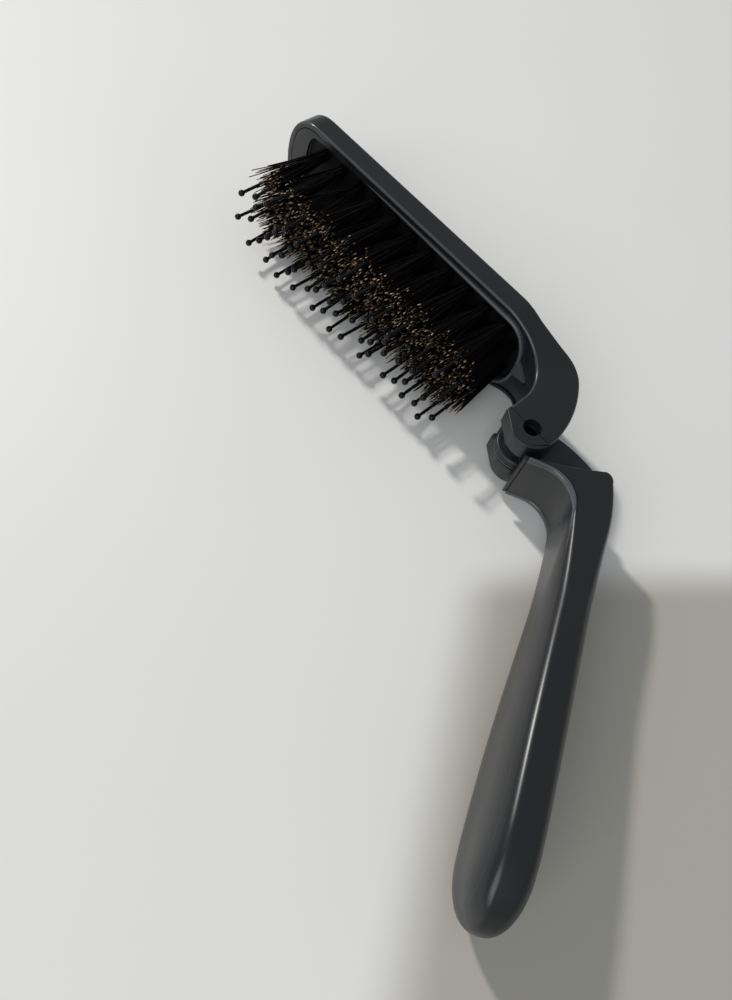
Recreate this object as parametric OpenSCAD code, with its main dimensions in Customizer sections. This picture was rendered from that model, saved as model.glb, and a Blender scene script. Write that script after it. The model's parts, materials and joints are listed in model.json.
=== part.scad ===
// Folding hairbrush lying on its side, half folded. Millimetres, +Z up.
// The head and the handle are drawn about the hinge axis and about their own
// middle plane, then set down so that the side of the head rests on Z = 0.
// Head coordinates: u runs from the hinge axis to the tip, v from the axis to
// the back of the head. Handle coordinates: p runs from the axis to the end of
// the handle, q from the axis to the back of the handle.

/* [Pose] */
// Angle between head and handle as drawn, 0 is folded shut and 180 is open
fold_rest = 118.7; // [30:0.1:175]

/* [Head form] */
// Hinge axis to the tip of the head
head_reach = 112; // [100:1:125]
// Width of the head, measured along the hinge axis
head_w = 28; // [27:0.5:32]
// Hinge axis back to the front face of the head
head_setback = 17; // [16:0.25:19]
// Thickness of the side walls of the head
side_wall = 1.6; // [1.2:0.1:1.8]
// Radius of the long edges on the back of the head
edge_r = 2; // [1:0.1:2.4]
// Length of the rounded tip
tip_len = 11; // [8:0.5:14]
// Squareness of the rounded ends, 2 is an ellipse
end_power = 2.4; // [2:0.1:3]
// Distance from the axis at which the neck starts to widen
shoulder_from = 8; // [6:0.5:10]
// Distance from the axis at which the head is full width
shoulder_to = 27; // [24:0.5:30]
// Radius of the scoop on the front of the neck
scoop_r = 12.4; // [11:0.1:13]
// Radius of the long curve on the back of the neck
neck_back_r = 30.5; // [28:0.5:34]
// Hinge axis to the back of the ears
neck_behind = 6; // [5.6:0.1:6.2]
// Radius where the neck curve meets the back of the head
neck_corner_r = 11; // [6:0.5:13]

/* [Layers of the head] */
// Thickness of the front frame
frame_t = 1; // [0.8:0.1:1.4]
// Edge of the shell down to the face of the front frame
frame_drop = 0.4; // [0.2:0.05:0.5]
// Width of the bead around the opening of the frame
bead_w = 0.6; // [0.4:0.1:0.8]
// Front face down to the face of the bristle plate
plate_drop = 1; // [0.6:0.1:1.2]
// Thickness of the flange of the bristle plate
flange_t = 1; // [0.8:0.1:1.4]
// Thickness of the strips that carry the boar tufts
strip_t = 0.7; // [0.5:0.1:1]
// Thickness of the strips that carry the nylon pins
pin_strip_t = 0.6; // [0.5:0.1:0.9]
// Thickness of the shell between bristles and mirror
floor_t = 1; // [0.9:0.1:1.5]
// Thickness of the adhesive pad behind the mirror
tape_t = 0.3; // [0.2:0.1:0.6]
// Thickness of the mirror
glass_t = 1.4; // [1:0.1:2]
// Depth of the mirror below the back face
glass_drop = 0.2; // [0:0.1:0.5]
// Rim of the shell around the mirror
mirror_rim = 3; // [2.5:0.1:5]
// Clearance around pieces that drop into a recess
fit_gap = 0.1; // [0.05:0.05:0.2]

/* [Bristle field] */
// Width of the front rim around the bristle plate
rim_w = 3; // [2.8:0.1:3.4]
// Width of the front rim at the tip
tip_rim = 5.4; // [3.4:0.1:5.8]
// Distance from the axis to the hinge end of the bristle plate
field_from = 18; // [17:0.5:20]
// Distance between tufts along a row
tuft_pitch = 7.2; // [6.6:0.1:7.6]
// Distance between rows
row_pitch = 4.2; // [3.9:0.1:4.4]
// Distance from the axis to the first tuft of the long rows
first_tuft = 21.6; // [21.4:0.1:23]
// Radius of the tuft holes
hole_r = 1.6; // [1.4:0.05:1.7]
// Length of the nylon pins beyond the front face
pin_reach = 27.2; // [22:0.2:28]
// Radius of a nylon pin
pin_r = 0.5; // [0.35:0.05:0.6]
// Radius of the ball on a nylon pin
ball_r = 0.9; // [0.65:0.05:1]
// Length of the boar hair beyond the front face
hair_reach = 18.6; // [15:0.2:21]
// Strands drawn for the hair of one tuft
hairs = 6; // [4:1:7]
// Radius of one strand
hair_r = 0.2; // [0.15:0.05:0.25]
// Radius of the ring on which the strands leave the backing
hair_ring = 1.1; // [1.05:0.05:1.2]
// Spread of the strands from root to tip
hair_spread = 1.2; // [0.8:0.1:1.4]

/* [Hinge] */
// Width of the hinge across both ears
hinge_w = 17; // [15:0.5:19]
// Radius of the ears below the axis
ear_r = 5.6; // [5.2:0.1:5.9]
// Hinge axis to the front face of the neck
neck_front = 7.4; // [7.2:0.1:7.6]
// Distance of the front corner of the ears below the axis
ear_corner = 1.2; // [0.6:0.1:1.4]
// Width of the slot between the ears
slot_w = 6.4; // [5.6:0.1:7]
// Radius of the round end of the tongue
tongue_r = 6.3; // [5.8:0.1:6.4]
// Gap around the tongue inside the slot
tongue_gap = 0.35; // [0.3:0.05:0.5]
// Thickness of a friction washer
washer_t = 0.7; // [0.4:0.05:0.8]
// Outer radius of a friction washer
washer_r = 3.2; // [2.9:0.1:4.4]
// Side play of each washer
washer_gap = 0.05; // [0.03:0.01:0.1]
// Radius of the hinge axle
axle_r = 2; // [1.6:0.05:2.1]
// Radial clearance of the axle in the ears
ear_fit = 0.03; // [0.02:0.01:0.05]
// Radial clearance of the axle in the tongue and washers
running_fit = 0.06; // [0.04:0.01:0.1]
// Radius of the round recess over each axle end
recess_r = 2.35; // [2.2:0.05:2.6]
// Depth of the round recess over each axle end
recess_depth = 2.6; // [2:0.1:3.2]
// Axle end to the floor of its recess
axle_short = 0.2; // [0.1:0.05:0.4]

/* [Fold mark] */
// Width of the raised triangle on the neck
mark_w = 4.8; // [4:0.1:5.2]
// Length of the raised triangle
mark_len = 5; // [4:0.1:5.2]
// Distance from the axis to the point of the triangle
mark_from = 12.5; // [12:0.1:13]
// Height of the raised triangle
mark_rise = 0.55; // [0.3:0.05:0.7]

/* [Handle form] */
// Hinge axis to the end of the handle
handle_reach = 106; // [95:1:115]
// Hinge axis to the front face of the handle at its end
handle_front = 12.4; // [12:0.1:13]
// Hinge axis to the back face of the handle
handle_back = 24.2; // [23:0.1:26]
// Width of the handle beside the hinge
neck_w = 16.4; // [14:0.2:17]
// Distance from the axis to the inner face of the lip
lip_front = 9; // [8.8:0.1:9.4]
// Thickness of the edge of the lip
lip_t = 1.1; // [0.9:0.1:1.2]
// Side gap from the closing plane to the edge of the lip
lip_gap = 0.3; // [0.3:0.05:0.6]
// Radius of the hook inside the handle
hook_r = 8.6; // [8:0.1:9]
// Distance from the axis to the top edge at the back corner
top_back = 3.6; // [3.4:0.1:4.6]
// Hollow of the top edge between lip and corner
top_hollow = 0.7; // [0:0.1:1.2]
// Radius of the back corner
corner_r = 2.25; // [1.5:0.25:3]
// How far the back corner stands in from the back face
back_rise = 1.9; // [0.5:0.1:2.2]
// Distance from the axis at which the grip reaches full width
bulb_at = 92; // [80:1:96]
// Length of the rounded end of the grip in thickness
end_len = 12; // [9:0.5:16]
// Length of the rounded end of the grip in width
bulb_len = 20; // [14:0.5:26]
// Roundness of the grip across its width, 1 is an oval
grip_round = 0.75; // [0.5:0.05:0.95]
// Radius of the edges of the handle beside the hinge
lip_edge_r = 0.4; // [0.2:0.1:0.6]
// Thickness of the front cover of the handle
cover_t = 1.3; // [1:0.1:1.4]
// Thickness of the front cover at the lip
cover_lip_t = 0.5; // [0.4:0.05:0.6]
// Height above the closing plane at which the front cover starts
cover_from = 1; // [0.8:0.1:1.6]

/* [Fin] */
// Radius of the leading edge of the fin
fin_r = 36; // [32:1:44]
// Radial distance from the axis to the low end of the leading edge
fin_low = 9.5; // [9.1:0.1:9.8]
// Radial distance from the axis to the high end of the leading edge
fin_high = 18.2; // [17.4:0.1:18.8]

// Depth of the heel of the fin in the handle
root_depth = 12; // [9:0.5:14]
// Share of the lip thickness that the root of the fin takes
root_share = 0.35; // [0.25:0.05:0.4]

/* [Hidden] */

big = 200;
overlap = 0.3;

// Layers of the head, from the front face to the back face
land_v = head_setback + plate_drop;
flange_v = head_setback + frame_drop + frame_t;
strip_v = flange_v + flange_t;
pin_strip_v = strip_v + strip_t;
floor_v = pin_strip_v + pin_strip_t;
tape_v = floor_v + floor_t;
glass_v = tape_v + tape_t;
back_v = glass_v + glass_t + glass_drop;
head_t = back_v - head_setback;

// Point on the resting side of the head that is the origin of the part
rest_u = 64;
rest_v = head_setback + head_t / 2;

// Ends of the head, of the bristle field and of the room behind the frame
tip_u = head_reach - tip_len;
tip_field = tip_len - tip_rim;
field_end = tip_len - rim_w;
row_count = 5;
long_row = floor((tip_u - first_tuft) / tuft_pitch) + 1;
field_end_u = field_from + field_end;
room_u = field_from + side_wall - rim_w;

// Curves of the neck: the scoop in front, the long curve and its corner behind
scoop_c = [neck_front + scoop_r, head_setback - scoop_r];
neck_back_c = [neck_back_r - neck_behind, 0];
ear_c = [ear_r - neck_behind, 0];
neck_corner_v = back_v - neck_corner_r;
neck_corner_u = neck_back_c[0]
  - sqrt(pow(neck_back_r - neck_corner_r, 2) - pow(neck_corner_v, 2));
neck_corner_a = atan2(neck_corner_v, neck_corner_u - neck_back_c[0]);

// Hook and grip of the handle
hook_c = [lip_front + hook_r, handle_front + 1.8 - hook_r];
grip_front = hook_c[1] + hook_r;
corner_q = handle_back - back_rise - corner_r;
bulb_w = head_w;
tongue_w = slot_w - 2 * (washer_t + 2 * washer_gap);

// Leading edge of the fin, from the round end of the tongue to the back corner
fin_a = [-fin_low * cos(60.5), fin_low * sin(60.5)];
fin_b = [fin_high * cos(88.7), fin_high * sin(88.7)];

// Points in a rounded end, and how far cutting shapes stand outside a surface
steps = 12;
outside = 0.6;

function lerp(a, b, t) = a + (b - a) * t;
function smooth(t) = let (s = max(0, min(1, t))) s * s * (3 - 2 * s);
function on_circle(c, r, a) = c + r * [cos(a), sin(a)];
function arc(c, r, from, to, n) =
  [for (i = [0 : n]) on_circle(c, r, lerp(from, to, i / n))];
// Height of a unit superellipse over t
function dome(t, power) = pow(1 - pow(min(1, abs(t)), power), 1 / power);

// Half width of the head at u, drawn in from the side by inset
function head_half(u, inset = 0) =
  let (t = (u - shoulder_from) / (shoulder_to - shoulder_from),
       w = lerp(hinge_w, head_w, (1 - cos(180 * max(0, min(1, t)))) / 2) / 2 - inset)
  u <= tip_u ? w : w * dome((u - tip_u) / (tip_len - inset), end_power);

// Stations along u at which the outline of the head needs a point
function head_stations(from, inset) = concat(
  [from],
  [for (i = [0 : steps]) lerp(shoulder_from, shoulder_to, i / steps)],
  [for (i = [0 : steps]) tip_u + (tip_len - inset) * sin(90 * i / steps)]);

// Outline of the head seen from the front, as u and width
module head_outline(from = -20, inset = 0) {
  side = [for (u = head_stations(from, inset)) [u, head_half(u, inset)]];
  polygon(concat(side, [for (i = [len(side) - 1 : -1 : 0]) [side[i][0], -side[i][1]]]));
}

// Outline of the bristle field seen from the front, grown outwards
module field_outline(grow) {
  half = head_w / 2 - rim_w + grow;
  reach = field_end + grow;
  side = concat(
    [for (i = [0 : steps]) let (s = sin(90 * (1 - i / steps)))
      [field_end_u - reach * s, half * dome(s, end_power)]],
    [for (i = [0 : steps]) let (s = sin(90 * i / steps))
      [tip_u + (tip_field + grow) * s, half * dome(s, end_power)]]);
  polygon(concat(side, [for (i = [len(side) - 2 : -1 : 1]) [side[i][0], -side[i][1]]]));
}

// Draws a front view outline as a slab from v = from to v = to
module slab(from, to) {
  translate([0, to, 0]) rotate([90, 0, 0]) linear_extrude(to - from) children();
}

// Solid between matching rings of points
module loft(rings) {
  n = len(rings[0]);
  last = (len(rings) - 1) * n;
  sides = [for (i = [0 : len(rings) - 2], j = [0 : n - 1])
    let (a = i * n + j, b = i * n + (j + 1) % n)
    each [[a, b, a + n], [b, b + n, a + n]]];
  caps = [[for (j = [n - 1 : -1 : 0]) j], [for (j = [0 : n - 1]) last + j]];
  polyhedron([for (r = rings) each r], concat(sides, caps), convexity = 6);
}

// Sets a head piece down in the part
module at_head() {
  translate([-rest_u, rest_v, head_w / 2]) mirror([0, 1, 0]) children();
}

// Sets a handle piece down in the part at the drawn fold
module at_handle() {
  translate([-rest_u, rest_v, head_w / 2]) rotate([0, 0, fold_rest]) children();
}

// Front and back of the head along the neck, t = 0 at the head, t = 1 at the ears
function neck_front_at(t) = t < 0.8
  ? on_circle(scoop_c, scoop_r, lerp(90, 180, t / 0.8))
  : [neck_front, lerp(scoop_c[1], 0, (t - 0.8) / 0.2)];
function neck_back_at(t) = t < 0.25
  ? [lerp(scoop_c[0], neck_corner_u, t / 0.25), back_v]
  : t < 0.45
    ? on_circle([neck_corner_u, neck_corner_v], neck_corner_r,
        lerp(90, neck_corner_a, (t - 0.25) / 0.2))
    : on_circle(neck_back_c, neck_back_r, lerp(neck_corner_a, 180, (t - 0.45) / 0.55));

// Ring of the head: two round back corners and two small front corners
function head_ring(front, back, half) =
  let (r = min(edge_r, 0.9 * half), s = 0.35, along = (back - front) / norm(back - front))
  [for (c = [[1, 1, r, 90, 0, 4], [-1, 1, r, 180, 90, 4],
             [-1, -1, s, 270, 180, 1], [1, -1, s, 360, 270, 1]])
    for (i = [0 : c[5]])
      let (a = lerp(c[3], c[4], 1 - i / c[5]),
           z = c[0] * (half - c[2]) + c[2] * cos(a),
           base = c[1] > 0 ? back - along * c[2] : front + along * c[2],
           pt = base + along * c[2] * sin(a))
      [pt[0], pt[1], z]];

// Solid form of the head with its neck, down to the seam through the axis
module head_form() {
  tip = [for (i = [steps : -1 : 0])
    let (u = tip_u + tip_len * sin(86 * i / steps),
         over = max(0, u - (head_reach - edge_r)),
         drop = edge_r - sqrt(max(0, edge_r * edge_r - over * over)))
    head_ring([u, head_setback], [u, back_v - 0.8 * drop], head_half(u))];
  body = [for (i = [0 : 4])
    let (u = lerp(shoulder_to, scoop_c[0] + 1, i / 4))
    head_ring([u, head_setback], [u, back_v], head_half(u))];
  neck = [for (i = [0 : 20])
    let (front = neck_front_at(i / 20))
    head_ring(front, neck_back_at(i / 20), head_half(front[0]))];
  loft(concat(tip, body, neck));
}

// Side view of a skin along the scoop and the front face, between two depths
module frame_profile(from, to) {
  polygon(concat(
    [[neck_front - from, -overlap]],
    arc(scoop_c, scoop_r + from, 180, 90, steps),
    [[head_reach + 1, head_setback + from], [head_reach + 1, head_setback + to]],
    arc(scoop_c, scoop_r + to, 90, 180, steps),
    [[neck_front - to, -overlap]]));
}

// Triangle of the fold mark seen from the front, grown outwards
module mark_outline(grow) {
  side = mark_w / 2 + grow;
  polygon([[mark_from - 2 * grow, 0], [mark_from + mark_len + grow, side],
    [mark_from + mark_len + grow, -side]]);
}

// Leading edge of the fin, as points from the low end to the high end and past it
function fin_edge(grow) =
  let (chord = fin_b - fin_a,
       half = norm(chord) / 2,
       mid = (fin_a + fin_b) / 2,
       side = [chord[1], -chord[0]] / norm(chord),
       c = mid + side * sqrt(fin_r * fin_r - half * half),
       a0 = atan2(fin_a[1] - c[1], fin_a[0] - c[0]),
       a1 = atan2(fin_b[1] - c[1], fin_b[0] - c[0]))
  arc(c, fin_r + grow, a0, a1, 8);

// Side view of the fin with its root, in handle coordinates
module fin_outline() {
  low = fin_edge(0)[0];
  lean = asin(tongue_r / norm(low));
  toward = atan2(-low[1], -low[0]) - lean;
  tangent = low + sqrt(low * low - tongue_r * tongue_r) * [cos(toward), sin(toward)];
  root = [for (t = [0.67 : -0.13 : 0.01]) lerp(hook_back_at(t), hook_front_at(t), root_share)];
  heel = fin_b + [root_depth, 2.6];
  polygon(concat([0.98 * tangent], fin_edge(0), [heel, heel - [0, 2]],
    root, [[tongue_r / 2, 2 * lip_gap]]));
}

// What the tongue and the fin need inside the head, in head coordinates
module slot_cut() {
  low = fin_edge(tongue_gap);
  linear_extrude(slot_w, center = true) {
    circle(tongue_r + tongue_gap, $fn = 96);
    mirror([1, 0]) polygon(concat([[0, 0]], [[-(tongue_r + tongue_gap), 2]], low,
      [[head_reach / 4, back_v + 1], [head_reach / 4, -20], [0, -20]]));
    translate([0, -20]) square([neck_front + 2, 20.2]);
  }
}

// Bore and end recesses for the axle through both ears
module ear_bores() {
  cylinder(hinge_w + 2, r = axle_r + ear_fit, center = true, $fn = 64);
  for (side = [-1, 1])
    translate([0, 0, side * (hinge_w / 2 - recess_depth / 2 + 0.5)])
      cylinder(recess_depth + 1, r = recess_r, center = true, $fn = 64);
}

// Back shell: side walls, back with the mirror recess, upper halves of the ears
module head_back_shell() {
  color([0.13, 0.14, 0.15]) at_head() difference() {
    head_form();
    // seat of the front frame
    intersection() {
      linear_extrude(big, center = true) frame_profile(-1, frame_drop + frame_t + fit_gap);
      slab(-1, back_v) head_outline(inset = side_wall);
    }
    // room behind the frame for the plate and the strips
    intersection() {
      slab(head_setback - 1, floor_v) head_outline(inset = side_wall);
      translate([room_u, 0, -big / 2]) cube([big, big, big]);
    }
    slab(tape_v, back_v + 1) mirror_outline(0);
    slot_cut();
    ear_bores();
  }
}

// Front frame: rim around the bristle plate, scoop of the neck, lower ear halves
module head_front_frame() {
  color([0.11, 0.12, 0.13]) at_head() difference() {
    union() {
      intersection() {
        linear_extrude(big, center = true) frame_profile(frame_drop, frame_drop + frame_t);
        slab(-1, back_v) head_outline(inset = side_wall + fit_gap);
      }
      // bead around the opening
      intersection() {
        slab(head_setback, head_setback + frame_drop + overlap) field_outline(bead_w);
        translate([scoop_c[0], 0, -big / 2]) cube([big, big, big]);
      }
      // lower half of each ear, with the flat that runs up to the neck
      linear_extrude(hinge_w, center = true) intersection() {
        union() {
          translate(ear_c) circle(ear_r, $fn = 96);
          polygon([[0, 0], [neck_front, 0], [neck_front, -ear_corner], on_circle(ear_c, ear_r, 302)]);
        }
        translate([-big / 2, -big]) square([big, big]);
      }
      // raised triangle that points to the hinge
      intersection() {
        slab(0, head_setback) mark_outline(0);
        linear_extrude(mark_w, center = true) difference() {
          translate(scoop_c) circle(scoop_r + frame_drop + frame_t / 2, $fn = 96);
          translate(scoop_c) circle(scoop_r + frame_drop - mark_rise, $fn = 96);
        }
      }
    }
    // fine groove around the triangle
    intersection() {
      difference() {
        slab(0, head_setback) mark_outline(0.3);
        slab(-1, head_setback + 1) mark_outline(0);
      }
      linear_extrude(big, center = true) translate(scoop_c)
        circle(scoop_r + frame_drop + 0.3, $fn = 96);
    }
    slab(head_setback - 1, flange_v + 1) field_outline(0);
    slot_cut();
    ear_bores();
  }
}

// Rows count from the side that rests on the table; odd rows are the short ones
function row_z(row) = (row - (row_count + 1) / 2) * row_pitch;
function row_size(row) = row % 2 == 0 ? long_row : long_row - 1;
function tuft_u(row, i) = first_tuft + tuft_pitch * (i + (row % 2 == 0 ? 0 : 0.5));

// Places children on each tuft of a row, with +Z along the bristles
module each_tuft(row) {
  for (i = [0 : row_size(row) - 1])
    translate([tuft_u(row, i), strip_v, row_z(row)]) rotate([90, 0, 0]) children();
}

// Strip behind the plate that carries one row
module row_strip(row, v, t) {
  first = tuft_u(row, 0);
  last = tuft_u(row, row_size(row) - 1);
  translate([first - hole_r, v, row_z(row) - hole_r])
    cube([last - first + 2 * hole_r, t, 2 * hole_r]);
}

// Bristle plate: flange behind the frame, land in its opening, a hole for each tuft
module bristle_plate() {
  color([0.09, 0.09, 0.1]) at_head() difference() {
    union() {
      slab(flange_v, strip_v) intersection() {
        field_outline(rim_w - side_wall - fit_gap);
        head_outline(inset = side_wall + fit_gap);
      }
      slab(land_v, flange_v + overlap) field_outline(-fit_gap);
    }
    for (row = [1 : row_count])
      each_tuft(row) translate([0, 0, -1]) cylinder(strip_v - head_setback + 2, r = hole_r, $fn = 24);
  }
}

// One row of boar tufts: a slice of backing and strands that fan out from it
module tuft_row(row) {
  strand_len = strip_v - head_setback + hair_reach;
  lean = atan(hair_spread / strand_len);
  color([0.24, 0.18, 0.12]) at_head() union() {
    difference() {
      row_strip(row, strip_v, strip_t);
      each_tuft(row) cylinder(4, r = pin_r + fit_gap / 2, center = true, $fn = 24);
    }
    each_tuft(row)
      for (k = [0 : hairs - 1])
        rotate([0, 0, (k + 0.5) * 360 / hairs])
          translate([hair_ring, 0, 0])
            rotate([0, lean, 0])
              translate([0, 0, -strip_t / 2])
                cylinder(strand_len + strip_t / 2, r = hair_r, $fn = 4);
  }
}

// One row of nylon pins, each with a ball on its tip, standing in the tufts
module pin_row(row) {
  root = strip_t + pin_strip_t / 2;
  top = strip_v - head_setback + pin_reach - ball_r;
  color([0.06, 0.06, 0.07]) at_head() union() {
    row_strip(row, pin_strip_v, pin_strip_t);
    each_tuft(row) {
      translate([0, 0, -root]) cylinder(root + top, r = pin_r, $fn = 24);
      translate([0, 0, top]) sphere(ball_r, $fn = 24);
    }
  }
}

// Long mirror with round ends on the back of the head
module mirror_outline(inset) {
  half = head_w / 2 - mirror_rim - inset;
  from = shoulder_to + head_w / 2 - mirror_rim;
  to = head_reach - head_w / 2;
  translate([from, -half]) square([to - from, 2 * half]);
  for (u = [from, to]) translate([u, 0]) circle(half, $fn = 96);
}

module mirror_glass() {
  color([0.8, 0.85, 0.88]) at_head()
    slab(glass_v, glass_v + glass_t) mirror_outline(fit_gap);
}

module mirror_tape() {
  color([0.2, 0.2, 0.2]) at_head()
    slab(tape_v, glass_v) mirror_outline(10 * fit_gap);
}

// Steel axle held between the halves of the ears
module hinge_axle() {
  half = hinge_w / 2 - recess_depth - axle_short;
  bevel = 0.3;
  color([0.6, 0.6, 0.62]) at_head()
    rotate_extrude($fn = 64) polygon([[0, -half], [axle_r - bevel, -half], [axle_r, bevel - half],
      [axle_r, half - bevel], [axle_r - bevel, half], [0, half]]);
}

// Friction washer between the tongue and one ear
module washer(side) {
  color([0.75, 0.73, 0.68]) at_head()
    translate([0, 0, side * (slot_w / 2 - washer_gap - washer_t / 2)]) difference() {
      cylinder(washer_t, r = washer_r, center = true, $fn = 64);
      cylinder(washer_t + 1, r = axle_r + running_fit, center = true, $fn = 64);
    }
}

// Front and back of the handle at its hook, t = 0 at the lip, t = 1 at the grip
function hook_front_at(t) = t < 0.3
  ? [lip_front, lerp(lip_gap, hook_c[1], t / 0.3)]
  : on_circle(hook_c, hook_r, lerp(180, 90, (t - 0.3) / 0.7));
function hook_back_at(t) =
  let (s = t / 0.75)
  t < 0.75
    ? [lerp(lip_front - lip_t, top_back, s) + 4 * top_hollow * s * (1 - s),
       lerp(lip_gap, corner_q, s)]
    : on_circle([top_back + corner_r, corner_q], corner_r, lerp(180, 90, (t - 0.75) / 0.25));

// Half width, front face and section of the grip at p
function grip_half(p) =
  let (w = lerp(neck_w, bulb_w, smooth((p - lip_front) / (bulb_at - lip_front))) / 2)
  w * dome(max(0, p - (handle_reach - bulb_len)) / bulb_len, 2.2);
function grip_front_q(p) = lerp(grip_front, handle_front, smooth((p - hook_c[0]) / 60));
function grip_back_q(p) =
  handle_back - back_rise * pow(1 - max(0, min(1, (p - top_back - corner_r) / 13)), 2);
function round_at(p) = smooth((p - lip_front) / 32);

// Ring of the handle between its front and back points; roundness goes from the
// crisp edges of the lip, 0, to the oval of the grip, 1
function handle_ring(front, back, half, roundness) =
  let (span = norm(back - front), along = (back - front) / span,
       small = min(lip_edge_r, 0.4 * span, 0.4 * half),
       deep = lerp(small, 0.48 * span, roundness),
       wide = lerp(small, grip_round * half, roundness))
  [for (c = [[1, 1, 0], [-1, 1, 90], [-1, -1, 180], [1, -1, 270]], i = [0 : 5])
    let (a = c[2] + 90 * i / 5,
         z = c[0] * (half - wide) + wide * cos(a),
         pt = (c[1] > 0 ? back - along * deep : front + along * deep) + along * deep * sin(a))
    [pt[0], pt[1], z]];

// Solid form of the handle from the lip to the end of the grip
module handle_form() {
  hook = [for (i = [0 : 18])
    let (t = i / 18, front = hook_front_at(t))
    handle_ring(front, hook_back_at(t), grip_half(front[0]), round_at(front[0]))];
  turn = [for (i = [1 : 4])
    let (pf = lerp(hook_c[0], 34, i / 4), pb = lerp(top_back + corner_r, 34, i / 4))
    handle_ring([pf, grip_front_q(pf)], [pb, grip_back_q(pb)], grip_half(pf), round_at(pf))];
  grip_to = handle_reach - bulb_len;
  grip = [for (i = [1 : 6])
    let (p = lerp(34, grip_to, i / 6))
    handle_ring([p, grip_front_q(p)], [p, handle_back], grip_half(p), round_at(p))];
  end = [for (i = [1 : steps])
    let (p = grip_to + bulb_len * sin(88 * i / steps),
         thin = dome(max(0, p - (handle_reach - end_len)) / end_len, 2.2),
         mid = (grip_front_q(p) + handle_back) / 2,
         half = (handle_back - grip_front_q(p)) / 2 * thin)
    handle_ring([p, mid - half], [p, mid + half], grip_half(p), round_at(p))];
  loft(concat(hook, turn, grip, end));
}

// Side view of the front cover: a skin along the hook and the front of the grip
module cover_profile(grow) {
  inner = hook_r - outside;
  outer = hook_r + cover_t + grow;
  start = cover_from - grow;
  line = [for (i = [1 : 9]) let (p = lerp(hook_c[0], handle_reach + 1, i / 9)) [p, grip_front_q(p)]];
  polygon(concat(
    [[lip_front + outside, start]],
    arc(hook_c, inner, 180, 90, steps),
    [for (pt = line) pt - [0, outside]],
    [for (i = [len(line) - 1 : -1 : 0]) line[i] + [0, cover_t + grow]],
    arc(hook_c, outer, 90, 162, steps),
    [[lip_front - cover_lip_t - grow, hook_c[1] / 2], [lip_front - cover_lip_t - grow, start]]));
}

module cover_zone(grow) {
  linear_extrude(big, center = true) cover_profile(grow);
}

// Tongue and fin that work in the slot of the head, with a root in the handle
module hinge_tongue() {
  color([0.12, 0.12, 0.13]) at_handle() difference() {
    union() {
      linear_extrude(tongue_w, center = true) fin_outline();
      cylinder(tongue_w, r = tongue_r, center = true, $fn = 96);
    }
    cylinder(tongue_w + 2, r = axle_r + running_fit, center = true, $fn = 64);
  }
}

// Back shell of the handle: back, side walls and lip, slotted for the fin
module handle_back_shell() {
  color([0.13, 0.14, 0.15]) at_handle() difference() {
    handle_form();
    cover_zone(fit_gap);
    linear_extrude(tongue_w + fit_gap, center = true) fin_outline();
  }
}

module handle_front_cover() {
  color([0.12, 0.13, 0.14]) at_handle() intersection() {
    handle_form();
    cover_zone(0);
  }
}

head_back_shell();
head_front_frame();
bristle_plate();
tuft_row(1);  // tuft_row_1
tuft_row(2);  // tuft_row_2
tuft_row(3);  // tuft_row_3
tuft_row(4);  // tuft_row_4
tuft_row(5);  // tuft_row_5
pin_row(1);  // pin_row_1
pin_row(2);  // pin_row_2
pin_row(3);  // pin_row_3
pin_row(4);  // pin_row_4
pin_row(5);  // pin_row_5
mirror_glass();  // mirror
mirror_tape();
hinge_axle();
washer(1);  // upper_washer
washer(-1);  // lower_washer
hinge_tongue();
handle_back_shell();
handle_front_cover();
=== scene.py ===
import json
import math

import bmesh
import bpy
from mathutils import Euler, Matrix, Vector


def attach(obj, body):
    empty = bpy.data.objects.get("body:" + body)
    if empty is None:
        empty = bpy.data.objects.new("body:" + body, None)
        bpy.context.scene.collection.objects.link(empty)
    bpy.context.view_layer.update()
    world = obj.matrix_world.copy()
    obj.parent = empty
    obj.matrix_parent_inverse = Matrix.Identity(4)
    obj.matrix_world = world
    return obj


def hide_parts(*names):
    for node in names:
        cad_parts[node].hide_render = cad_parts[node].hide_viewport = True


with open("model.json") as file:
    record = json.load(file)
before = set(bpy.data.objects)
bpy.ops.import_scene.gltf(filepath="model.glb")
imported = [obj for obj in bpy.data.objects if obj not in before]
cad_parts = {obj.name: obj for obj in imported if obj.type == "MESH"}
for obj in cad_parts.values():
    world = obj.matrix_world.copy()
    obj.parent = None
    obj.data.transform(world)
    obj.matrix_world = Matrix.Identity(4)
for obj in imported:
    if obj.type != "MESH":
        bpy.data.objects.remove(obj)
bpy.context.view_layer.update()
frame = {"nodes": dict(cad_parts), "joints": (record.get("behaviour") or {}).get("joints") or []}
print("frame loaded:", len(frame["nodes"]), "nodes")

# The brush is drawn in millimetres about its hinge axis. On the head, u runs to
# the tip and v to the back; on the handle, p runs to its end and q to its back.
fold = frame["joints"][0]
hinge = Vector(fold["pos_m"])
foldAngle = math.radians(-fold["range_deg"][0])


def onHead(u, v, z):
    return hinge + Vector((u, -v, z)) / 1000


def onHandle(p, q, z):
    c, s = math.cos(foldAngle), math.sin(foldAngle)
    return hinge + Vector((p * c - q * s, p * s + q * c, z)) / 1000


def lerp(a, b, t):
    return a + (b - a) * t


def smooth(t):
    t = min(1, max(0, t))
    return t * t * (3 - 2 * t)


def dome(t, power):
    return (1 - min(1, abs(t)) ** power) ** (1 / power)


def polar(centre, radius, degrees):
    a = math.radians(degrees)
    return Vector((centre[0] + radius * math.cos(a), centre[1] + radius * math.sin(a)))


def arc(centre, radius, start, end, steps):
    return [polar(centre, radius, lerp(start, end, i / steps)) for i in range(steps + 1)]


# ---- meshes


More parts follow.
